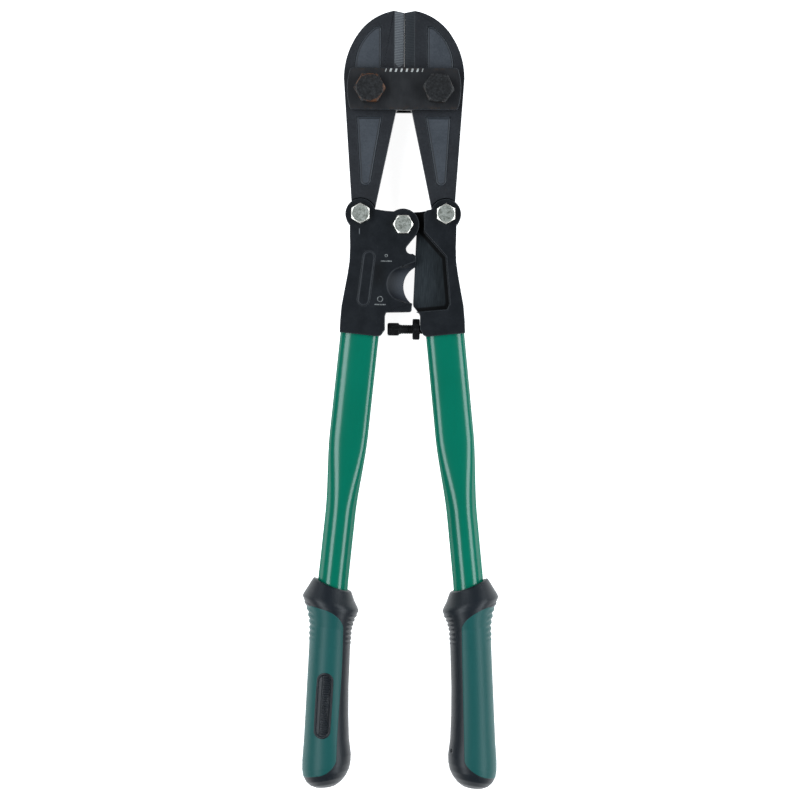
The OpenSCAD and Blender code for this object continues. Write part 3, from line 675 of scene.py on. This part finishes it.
def boltPiece(name, node, body, slotName, finish, spec):
    angle = hexAngles()
    shank, length = spec["shank"] / 2, spec["length"]
    rings = headRings(angle, spec["flats"], spec["head"])
    rings += [(shank + 0.15, 0.0), (shank, -0.25), (shank, -length * 0.6)]
    rings = ringStack(rings, angle)
    thread = threadRings(angle, shank, -length + 0.6, -length * 0.62,
                         spec["pitch"], spec["pitch"] * 0.5)
    thread = ringStack(thread + [(shank - 0.7, -length)], angle)
    points = np.concatenate([softened(rings, spec["soft"]), thread])
    mark = rimMark(points, spec["flats"]) * (points[..., 2] > -0.01)
    points = turnedRound(points, spec["turn"]) + np.array(spec["at"])
    obj = surface(name, points, closed=True, marks={"rim": mark})
    return evenNormals(addPiece(obj, body, node, slotName, finish))


def nutPiece(name, node, body, slotName, finish, spec):
    # a closed loop of rings: up the bore, over the outer face, down the sides and back under
    angle = hexAngles()
    side, bore, high = hexRadius(angle, spec["flats"]), spec["bore"] / 2 + 0.02, spec["high"]
    top = spec["flats"] * 0.465
    edge = high - (side - top) * 0.42
    rings = ringStack([(bore, 0.0), (bore, high - 0.5), (bore + 0.45, high), (top, high),
                       (side, edge), (side, 0.3), (side - 0.2, 0.0), (bore, 0.0)], angle)
    points = softened(rings, spec["soft"])[:-1]
    mark = rimMark(points, spec["flats"])
    points = turnedRound(points, spec["turn"], -1) + np.array(spec["at"])
    obj = surface(name, points, loopRows=True, marks={"rim": mark})
    return evenNormals(addPiece(obj, body, node, slotName, finish))


def washerPiece(name, node, body, slotName, finish, spec):
    # a rounded square section carried round; with a gap it climbs a little, as a spring washer does
    gap = np.radians(spec.get("gap", 0))
    angle = np.linspace(gap / 2, 2 * np.pi - gap / 2, 96, endpoint=gap > 0)
    angle = angle + np.radians(spec.get("gapAt", 0))
    around = np.radians(np.arange(0, 360, 15))
    wide, high = (spec["outer"] - spec["inner"]) / 4, spec["high"] / 2
    middle = (spec["outer"] + spec["inner"]) / 4
    squared = lambda wave: np.sign(wave) * np.abs(wave) ** 0.35
    reach = middle + wide * squared(np.cos(around))[:, None] + 0 * angle
    lift = spec.get("climb", 0) * (np.linspace(-1, 1, len(angle)))
    height = (high - spec.get("climb", 0)) * squared(np.sin(around))[:, None] + lift
    points = np.stack([reach * np.cos(angle), reach * np.sin(angle), height], -1)
    points = points + np.array(spec["at"])
    if gap:
        points = points.transpose(1, 0, 2)
    obj = surface(name, points, loopRows=not gap, closed=gap > 0,
                  marks={"rim": np.zeros(points.shape[:2])})
    return evenNormals(addPiece(obj, body, node, slotName, finish))


plateTop = boxOf("jaw_plate_front")[1][2] - midZ
plateBottom = boxOf("jaw_plate_rear")[0][2] - midZ
bracketTop = boxOf("bracket_left")[1][2] - midZ
jawBolt = {"flats": 16, "head": 6.4, "shank": 10, "length": 26.5, "pitch": 1.5, "soft": 0.24}
jawNut = {"flats": 16, "bore": 10, "high": 6, "soft": 0.22}
lockWasher = {"outer": 16, "inner": 10.1, "high": 2, "gap": 9, "climb": 0.12}
smallBolt = {"flats": 10.4, "head": 4.4, "shank": 6, "pitch": 1.0, "soft": 0.17}
smallNut = {"flats": 10.4, "bore": 6, "high": 5, "soft": 0.16}
plainWasher = {"outer": 14.8, "inner": 6.1, "high": 1.6}
zincFinish = finishes["zinc"]

for side, label in ((-1, "left"), (1, "right")):
    suffix, handleBody = label.capitalize(), label + "_handle"
    at = (side * -jawPivot[0], jawPivot[1])
    boltPiece("jawBolt" + suffix, "jaw_bolt_" + label, "head", "black_bolt", finishes["bolt" + suffix],
              {**jawBolt, "turn": 0 if side < 0 else -6, "at": (*at, plateTop)})
    washerPiece("jawLockWasher" + suffix, "jaw_lock_washer_" + label, "head", "zinc", zincFinish,
                {**lockWasher, "gapAt": 90 + 20 * side,
                 "at": (*at, plateBottom - lockWasher["high"] / 2)})
    nutPiece("jawNut" + suffix, "jaw_nut_" + label, "head", "black_bolt", finishes["boltRight"],
             {**jawNut, "turn": 12 * side, "at": (*at, plateBottom - lockWasher["high"])})
    at = (side * -togglePivot[0], togglePivot[1])
    boltPiece("toggleBolt" + suffix, "toggle_bolt_" + label, handleBody, "zinc", zincFinish,
              {**smallBolt, "length": 18.6, "turn": 30, "at": (*at, bracketTop)})
    nutPiece("toggleNut" + suffix, "toggle_nut_" + label, handleBody, "zinc", zincFinish,
             {**smallNut, "turn": 30 + 10 * side, "at": (*at, -bracketTop)})

washerTop = boxOf("centre_washer")[1][2] - midZ
boltPiece("centreBolt", "centre_bolt", "left_handle", "zinc", zincFinish,
          {**smallBolt, "length": 20.2, "turn": 0, "at": (0, centreY, bracketTop)})
washerPiece("centreWasher", "centre_washer", "left_handle", "zinc", zincFinish,
            {**plainWasher, "at": (0, centreY, washerTop - plainWasher["high"] / 2)})
nutPiece("centreNut", "centre_nut", "left_handle", "zinc", zincFinish,
         {**smallNut, "turn": 30, "at": (0, centreY, washerTop - plainWasher["high"])})


def alongX(points, start, y):
    # a piece made upright is laid along +X from start
    return np.stack([points[..., 2] + start, points[..., 1] + y, -points[..., 0]], -1)


screw = {"flats": 7.3, "head": 6.8, "shank": 5.6, "thread": 1.0, "depth": 0.45, "soft": 0.25,
         "hardness": 40, "rust": 0.25}
lockNut = {"flats": 12, "top": 5.5, "slope": 0.5, "play": 0.04, "soft": 0.25, "rust": 0.3}
screwLow, screwHigh = boxOf("adjusting_screw")
nutLow, nutHigh = boxOf("adjuster_lock_nut")
screwY = (screwLow[1] + screwHigh[1]) / 2
angle = hexAngles()
side = hexRadius(angle, screw["flats"], screw["hardness"])
shank, head = screw["shank"] / 2, screw["head"]
length = screwHigh[0] - screwLow[0]
rings = ringStack([(1.0, 0.1), (2.9, 0.0), (side, 0.55), (side, head - 0.5), (side - 0.6, head),
                   (shank, head + 0.05), (shank, head + 0.8)], angle)
rows = threadRings(angle, shank, -length + 0.5, -head - 1.0, screw["thread"], screw["depth"])
thread = ringStack([(radius, -height) for radius, height in rows] + [(shank - 0.9, length)], angle)
points = np.concatenate([softened(rings, screw["soft"]), thread])
obj = surface("adjustingScrew", alongX(points, screwLow[0], screwY), closed=True,
              marks={"rim": 0 * points[..., 0] + screw["rust"]})
evenNormals(addPiece(obj, "stop_screw", "adjusting_screw", "black_bolt", finishes["screw"]))

side, top = hexRadius(angle, lockNut["flats"], screw["hardness"]), lockNut["top"]
thick, bore = nutHigh[0] - nutLow[0], shank + lockNut["play"]
cone = (side - top) * lockNut["slope"]
rings = ringStack([(bore, 0.0), (bore + 0.3, 0.0), (top, 0.0), (side, cone), (side, thick - cone),
                   (top, thick), (bore, thick), (bore, 0.0)], angle)
points = softened(rings, lockNut["soft"])[:-1]
obj = surface("adjusterLockNut", alongX(points, nutLow[0], screwY), loopRows=True,
              marks={"rim": 0 * points[..., 0] + lockNut["rust"]})
evenNormals(addPiece(obj, "stop_lock_nut", "adjuster_lock_nut", "black_bolt", finishes["screw"]))
print("fasteners made")


handle = {"slope": math.tan(math.radians(5.74)), "gripSlope": 0.024, "topX": -24.8,
          "bendAbove": 6, "bendSpan": 18, "bracketDrop": 69.7, "gripLength": 118}
gripEndY = boxOf("grip_overmould_left")[0][1]
gripTopY = gripEndY + handle["gripLength"]
tubeTopY = togglePivot[1] - handle["bracketDrop"]
tube = {"flatWide": 22.2, "flatThick": 11, "round": 17.4, "wall": 1.5, "flatLength": 57, "taper": 48,
        "outerCorner": 2.25, "innerCorner": 2.8, "hiddenEnd": 12, "rows": 220, "around": 128}


def ease(t):
    t = np.clip(t, 0, 1)
    return t * t * (3 - 2 * t)


def axisX(y):
    # straight down and outwards from the bracket, easing to the grip's own slope over the bend
    bendY = gripTopY + handle["bendAbove"]
    part = np.clip((bendY - y) / handle["bendSpan"], 0, 1)
    swing = part ** 2 * handle["bendSpan"] / 2 + np.maximum(0, bendY - handle["bendSpan"] - y)
    straight = handle["topX"] - handle["slope"] * (tubeTopY - y)
    return straight + (handle["slope"] - handle["gripSlope"]) * swing


def rounded(wave, corner):
    # a cosine or sine raised so that an ellipse swells towards a rounded box
    return np.sign(wave) * np.abs(wave) ** (2 / corner)


def tubeSkin(y, angle, inset):
    # a flattened section with a tighter corner on the inner side, turning round below the taper
    share = ease((tubeTopY - tube["flatLength"] - y) / tube["taper"])
    a = tube["flatWide"] / 2 + (tube["round"] - tube["flatWide"]) / 2 * share - inset
    b = tube["flatThick"] / 2 + (tube["round"] - tube["flatThick"]) / 2 * share - inset
    corner = np.where(np.cos(angle) > 0, tube["innerCorner"], tube["outerCorner"])
    corner = corner + (2 - corner) * share
    u = a * rounded(np.cos(angle), corner)
    return np.stack([axisX(y) + u, y - handle["slope"] * u, b * rounded(np.sin(angle), corner)], -1)


angle = np.linspace(0, 2 * np.pi, tube["around"], endpoint=False)[None, :]
along = np.linspace(tubeTopY, gripEndY + tube["hiddenEnd"], tube["rows"])[:, None]
points = np.concatenate([tubeSkin(along, angle, 0), tubeSkin(along[::-1], angle, tube["wall"])])
for turned, label in ((False, "left"), (True, "right")):
    obj = surface("tube" + label.capitalize(), points, loopRows=True, turned=turned)
    addPiece(obj, label + "_handle", "tube_" + label, "tube_paint", finishes["paint"])
    obj.data.set_sharp_from_angle(angle=math.radians(50))
print("tubes made")


# each grip is one body function: the soft moulding is the whole body, the hard shell a patch on it

mouth, flangeAt, gripLength = tube["round"] / 2, 10.6, handle["gripLength"]
grip = {
    # distance below the mouth, half width, half depth, share of the collar's slope, shift outwards
    "rings": np.array([
        [0.0, mouth + 2.2, mouth + 2.3, 1.4, 0.2], [flangeAt * 0.5, 13.4, 14.0, 1.2, 0.5],
        [flangeAt - 1.2, 15.7, 16.3, 1, 0.7], [flangeAt + 0.3, 16.25, 16.9, 1, 0.7],
        [flangeAt + 2.6, 15.3, 17.1, 1, 0.6], [flangeAt + 7.5, 13.25, 16.0, 0.9, 0.3],
        [flangeAt + 14, 11.95, 14.3, 0.6, 0.2], [flangeAt + 26, 11.85, 13.1, 0.3, 0.4],
        [59, 12.05, 13.1, 0, 0.8], [75.5, 12.45, 13.3, 0, 0.8], [89.7, 13.05, 13.6, -0.15, 0.6],
        [100, 14.05, 14.1, -0.45, 0.2], [105, 14.0, 14.1, -0.6, 0.2], [109, 13.3, 13.4, -0.65, 0.2],
        [112.5, 11.6, 11.8, -0.65, 0.2], [115.4, 9.0, 9.2, -0.6, 0.2], [117.2, 5.8, 6.0, -0.5, 0.2],
        [117.9, 2.6, 2.7, -0.4, 0.2], [118.0, 0.8, 0.8, -0.3, 0.2]]),
    "collarSlope": 0.27, "sag": 1.1, "ellipse": 2.1, "around": 192,
    "ridgeFrom": 13.0, "ridgeCount": 7, "ridgePitch": 3.05, "ridgeHigh": 0.85,
    "seamFront": (7.6, 6.1), "seamBack": (5.2, 5.0), "cornerFront": 0.85, "cornerBack": 1.15,
    "shellTop": 14.3, "shellTopRise": 11.0, "shellEnd": 109.6, "shellEndRise": 10.5,
    "shellProud": 0.12, "shellWall": 0.9, "shellSunk": 1.1,
    "pitAt": 96.5, "pitAngle": -27, "pitRadius": 1.3, "pitDeep": 0.9,
}
badge = {"length": 38, "width": 9.9, "at": 0.587 * gripLength, "shift": -2.6, "tilt": -3.2,
         "rim": 1.15, "crown": 0.22, "proud": 0.28, "field": 0.65, "ribPitch": 1.35, "ribHigh": 0.42,
         "lineAt": -1.4, "lineHigh": 0.3, "skirt": 1.1, "bed": 0.9}


def gripValue(down, column):
    # the ring table read between its lines, then evened out over about a millimetre
    fine = np.linspace(0, gripLength, 945)
    values = np.interp(fine, grip["rings"][:, 0], grip["rings"][:, column])
    weights = np.hanning(13)
    weights /= weights.sum()
    padded = np.concatenate([np.full(6, values[0]), values, np.full(6, values[-1])])
    smooth = np.convolve(padded, weights, "valid")
    smooth = np.where(fine > 115.4, values, smooth)
    return np.interp(down, fine, smooth)


def gripPoint(down, angle, lift=0.0):
    # rings square to the handle, skewed by the collar's slope and sagging at the mouth's front and back
    a, b = gripValue(down, 1) + lift, gripValue(down, 2) + lift
    u = a * rounded(np.cos(angle), grip["ellipse"])
    v = b * rounded(np.sin(angle), grip["ellipse"])
    y = gripTopY - down
    sag = grip["sag"] * np.sin(angle) ** 2 * (1 - ease(down / 14))
    skew = grip["collarSlope"] * gripValue(down, 3) * u
    return np.stack([axisX(y) - gripValue(down, 4) + u, y - skew - sag, v], -1)


def ridges(down, angle):
    # finger ridges on both flanks just under the flange, dying out towards the front and back
    phase = (down - grip["ridgeFrom"]) / grip["ridgePitch"]
    inside = ease(phase / 0.4) * ease((grip["ridgeCount"] - phase) / 0.8)
    tooth = 1 - np.abs((phase % 1) * 2 - 1) ** 1.6
    flank = ease((np.abs(np.cos(angle)) - 0.70) / 0.2)
    return grip["ridgeHigh"] * (tooth - 0.45) * inside * flank * (1 - 0.35 * phase / grip["ridgeCount"])


def seamAngle(down, offsets):
    # the seam's angle: its offset from the axis drifts from one value to another down the grip
    offset = offsets[0] + (offsets[1] - offsets[0]) * ease((down - 40) / 55)
    share = np.clip((offset + gripValue(down, 4)) / gripValue(down, 1), 0, 0.98)
    return np.arccos(share ** (grip["ellipse"] / 2))


def shellCorner(turn, front, back):
    # how far the shell's ends have turned into the seams: 1 at a seam, 0 past its elliptical corner
    frontCorner = np.clip(1 - (turn - front) / grip["cornerFront"], 0, 1)
    backCorner = np.clip(1 - (2 * np.pi - back - turn) / grip["cornerBack"], 0, 1)
    return 1 - np.sqrt(1 - np.maximum(frontCorner, backCorner) ** 2)


def shellGrid(rows, cols):
    # across: from the front seam round the outside to the back seam;
    # along: from the top edge to the bottom edge, both of which turn into the seams
    across = np.linspace(0, 1, cols)[None, :]
    along = np.linspace(0, 1, rows)[:, None]
    front, back = seamAngle(60.0, grip["seamFront"]), seamAngle(60.0, grip["seamBack"])
    corner = shellCorner(front + across * (2 * np.pi - front - back), front, back)
    top = grip["shellTop"] + grip["shellTopRise"] * corner
    end = grip["shellEnd"] - grip["shellEndRise"] * corner
    down = top + along * (end - top)
    front, back = seamAngle(down, grip["seamFront"]), seamAngle(down, grip["seamBack"])
    return down, front + across * (2 * np.pi - front - back), across, along


def badgePlace(points):
    # a point's place along and across the badge
    y0 = gripTopY - badge["at"]
    x, y = points[..., 0] - (axisX(y0) + badge["shift"]), points[..., 1] - y0
    tilt = np.radians(badge["tilt"])
    return -x * np.sin(tilt) + y * np.cos(tilt), x * np.cos(tilt) + y * np.sin(tilt)


def obroundGap(along, across, length, width):
    # how far a point lies outside an obround
    return np.hypot(np.maximum(np.abs(along) - (length - width) / 2, 0), across) - width / 2


def insideShell(down, angle):
    # about how many millimetres a point lies inside the shell's border
    turn = angle % (2 * np.pi)
    front, back = seamAngle(down, grip["seamFront"]), seamAngle(down, grip["seamBack"])
    corner = shellCorner(turn, front, back)
    ends = np.minimum(down - grip["shellTop"] - grip["shellTopRise"] * corner,
                      grip["shellEnd"] - grip["shellEndRise"] * corner - down)
    sides = np.minimum(turn - front, 2 * np.pi - back - turn) * 12
    return np.minimum(ends, sides)


def gripBody():
    # from inside the mouth, over its round lip, along the body, to the rounded end
    angle = np.linspace(0, 2 * np.pi, grip["around"], endpoint=False)[None, :]
    lip = np.array([[3.0, 0.15], [1.0, 0.2], [0.25, 0.6], [-0.15, 1.2], [0.0, 1.85]])
    spans = [np.linspace(0.5, 40, 190), np.linspace(40.4, 98, 110), np.linspace(98.4, gripLength, 70)]
    down = np.concatenate(spans)[:, None]
    body = gripPoint(down, angle)
    degrees = np.degrees((angle + np.pi) % (2 * np.pi) - np.pi)
    pitGap = np.hypot(down - grip["pitAt"], (degrees - grip["pitAngle"]) * 0.24)  # millimetres a degree
    pit = 1 - ease((pitGap - grip["pitRadius"] * 0.6) / (grip["pitRadius"] * 0.5))
    sunk = grip["shellSunk"] * ease((insideShell(down, angle) - 0.7) / 1.4)
    move = ridges(down, angle) - sunk - grip["pitDeep"] * pit
    outward = np.stack([np.cos(angle) + 0 * down, 0 * angle + 0 * down, np.sin(angle) + 0 * down], -1)
    body = body + outward * move[..., None]
    mouthRing = gripPoint(np.zeros((1, 1)), angle)
    centre = mouthRing.mean(1, keepdims=True)
    spoke = mouthRing - centre
    flat = spoke / np.linalg.norm(spoke[..., [0, 2]], axis=-1, keepdims=True)
    lipRows = centre + flat * (mouth + lip[:, 1])[:, None, None]
    lipRows[..., 1] -= lip[:, :1]
    points = np.concatenate([lipRows, body])
    marks = np.concatenate([np.zeros((len(lip), grip["around"])), pit])
    return points, {"pit": marks}


def gripShell():
    # stands a hair proud of the soft body, its border rolled under, sunk below the badge;
    # its back is the same patch drawn in by its wall
    down, angle, across, along = shellGrid(300, 150)
    base = gripPoint(down, angle)
    rim = np.minimum(np.minimum(along, 1 - along) * 94, np.minimum(across, 1 - across) * 50)
    roll = -0.75 * (1 - np.sqrt(np.clip(1 - (1 - np.clip(rim / 0.8, 0, 1)) ** 2, 0, 1)))
    length, width = badgePlace(base)
    front = np.sin(angle) > 0
    gap = obroundGap(length, width, badge["length"], badge["width"])
    under = np.where(front, 1 - ease((gap + 1.0) / 0.6), 0)
    move = grip["shellProud"] + roll + ridges(down, angle) * ease(rim / 3) - badge["bed"] * under
    outward = np.stack([np.cos(angle), 0 * angle, np.sin(angle)], -1)
    outer = base + outward * move[..., None]
    return np.concatenate([outer, (outer - outward * grip["shellWall"])[::-1]])


def badgeTop():
    # an obround in rings from its middle outwards: a rolled rim, a sunk field,
    # a lengthwise line and plain cross ribs
    share = np.concatenate([np.linspace(0.02, 0.80, 60), np.linspace(0.81, 1, 24)])[:, None]
    turn = np.linspace(0, 2 * np.pi, 256, endpoint=False)[None, :]
    straight = (badge["length"] - badge["width"]) / 2
    along = share * (straight * np.clip(np.sin(turn) * 3.2, -1, 1) + badge["width"] / 2 * np.sin(turn))
    across = share * badge["width"] / 2 * np.cos(turn)
    gap = -obroundGap(along, across, badge["length"], badge["width"])
    inField = ease((gap - badge["rim"]) / 0.35)
    crown = 1 - (np.clip(gap / badge["rim"], 0, 1) * 2 - 1) ** 2
    ribZone = ease((across - badge["lineAt"] - 0.5) / 0.3) * ease((gap - badge["rim"] - 0.7) / 0.3)
    rib = np.clip(np.cos(2 * np.pi * along / badge["ribPitch"]) + 0.2, 0, 1)
    line = np.exp(-((across - badge["lineAt"]) / 0.28) ** 2)
    high = badge["proud"] + badge["crown"] * crown - badge["field"] * inField \
        + badge["ribHigh"] * rib * ribZone + badge["lineHigh"] * line * inField
    tilt = np.radians(badge["tilt"])
    y0 = gripTopY - badge["at"]
    x = axisX(y0) + badge["shift"] + across * np.cos(tilt) - along * np.sin(tilt)
    y = y0 + across * np.sin(tilt) + along * np.cos(tilt)
    down = gripTopY - y
    a, b = gripValue(down, 1), gripValue(down, 2)
    u = np.clip(np.abs(x - axisX(y) + gripValue(down, 4)) / a, 0, 0.97)
    z = b * (1 - u ** grip["ellipse"]) ** (1 / grip["ellipse"])
    top = np.stack([x, y, z + high], -1)
    skirt = top[-1:].copy()
    skirt[..., 2] -= badge["skirt"]
    base = skirt.copy()
    middle = skirt[..., :2].mean(1, keepdims=True)
    base[..., :2] = middle + (skirt[..., :2] - middle) * 0.3
    return np.concatenate([top, skirt, base])


body, bodyMarks = gripBody()
shell = gripShell()
badgePoints = badgeTop()
for turned, label in ((False, "left"), (True, "right")):
    suffix = label.capitalize()
    obj = surface("gripOvermould" + suffix, body, closed=True, turned=turned, marks=bodyMarks)
    addPiece(obj, label + "_handle", "grip_overmould_" + label, "grip_soft", finishes["rubber"])
    obj = surface("gripShell" + suffix, shell, loopRows=True, loopCols=False, turned=turned)
    addPiece(obj, label + "_handle", "grip_shell_" + label, "grip_shell", finishes["shell"])
    obj = surface("gripBadge" + suffix, badgePoints, closed=True, turned=turned)
    addPiece(obj, label + "_handle", "grip_badge_" + label, "grip_badge", finishes["badge"])
print("grips made")


studio = {  # the camera and its sight in millimetres, the soft boxes and the floor in metres
    "camera": (-1.1, 0.0), "lens": 120, "sensor": 36, "across": 462, "sightHeight": 24, "roll": 0.4,
    "leftAngle": 38, "rightAngle": 52, "reach": 0.9, "boxWide": 0.34, "boxLong": 1.7,
    "radiance": 6.4, "light": (0.93, 1.0, 1.05), "fill": 0.06,
    "floor": (0.80, 0.80, 0.80), "glow": 0.92, "floorHalf": 3, "floorAt": -0.0002,
}

floorFinish = Finish("floorCard", {"Roughness": 0.9, "Specular IOR Level": 0.1})
floorFinish.shader.inputs["Base Color"].default_value = (*studio["floor"], 1)
floorFinish.shader.inputs["Emission Color"].default_value = (1, 1, 1, 1)  # a card lit from below too
floorFinish.shader.inputs["Emission Strength"].default_value = studio["glow"]
floorMesh = bpy.data.meshes.new("floorCard")
floorCorners = [(x * studio["floorHalf"], y * studio["floorHalf"], studio["floorAt"])
                for x, y in ((-1, -1), (1, -1), (1, 1), (-1, 1))]
floorMesh.from_pydata(floorCorners, [], [(0, 1, 2, 3)])
floorMesh.materials.append(floorFinish.material)
floor = bpy.data.objects.new("floorCard", floorMesh)
bpy.context.scene.collection.objects.link(floor)

for name, lean in (("softboxLeft", -studio["leftAngle"]), ("softboxRight", studio["rightAngle"])):
    lamp = bpy.data.lights.new(name, "AREA")
    lamp.shape, lamp.size, lamp.size_y = "RECTANGLE", studio["boxWide"], studio["boxLong"]
    lamp.color = studio["light"]
    lamp.energy = studio["radiance"] * math.pi * studio["boxWide"] * studio["boxLong"]
    obj = bpy.data.objects.new(name, lamp)
    turn = math.radians(lean)
    obj.location = (studio["reach"] * math.sin(turn), 0, studio["reach"] * math.cos(turn))
    obj.rotation_euler = (0, turn, 0)
    obj.visible_camera = False
    bpy.context.scene.collection.objects.link(obj)

world = bpy.data.worlds.new("studioWorld")
world.use_nodes = True
world.node_tree.nodes["Background"].inputs["Color"].default_value = (1, 1, 1, 1)
world.node_tree.nodes["Background"].inputs["Strength"].default_value = studio["fill"]
bpy.context.scene.world = world
bpy.context.scene.view_settings.view_transform = "Standard"

lens = bpy.data.cameras.new("studioCamera")
lens.lens, lens.sensor_width, lens.clip_start = studio["lens"], studio["sensor"], 0.01
camera = bpy.data.objects.new("studioCamera", lens)
stand = studio["across"] * studio["lens"] / studio["sensor"] + studio["sightHeight"]
camera.location = (studio["camera"][0] * 0.001, studio["camera"][1] * 0.001, stand * 0.001)
camera.rotation_euler = (0, 0, math.radians(studio["roll"]))
bpy.context.scene.collection.objects.link(camera)
bpy.context.scene.camera = camera
print("studio made")
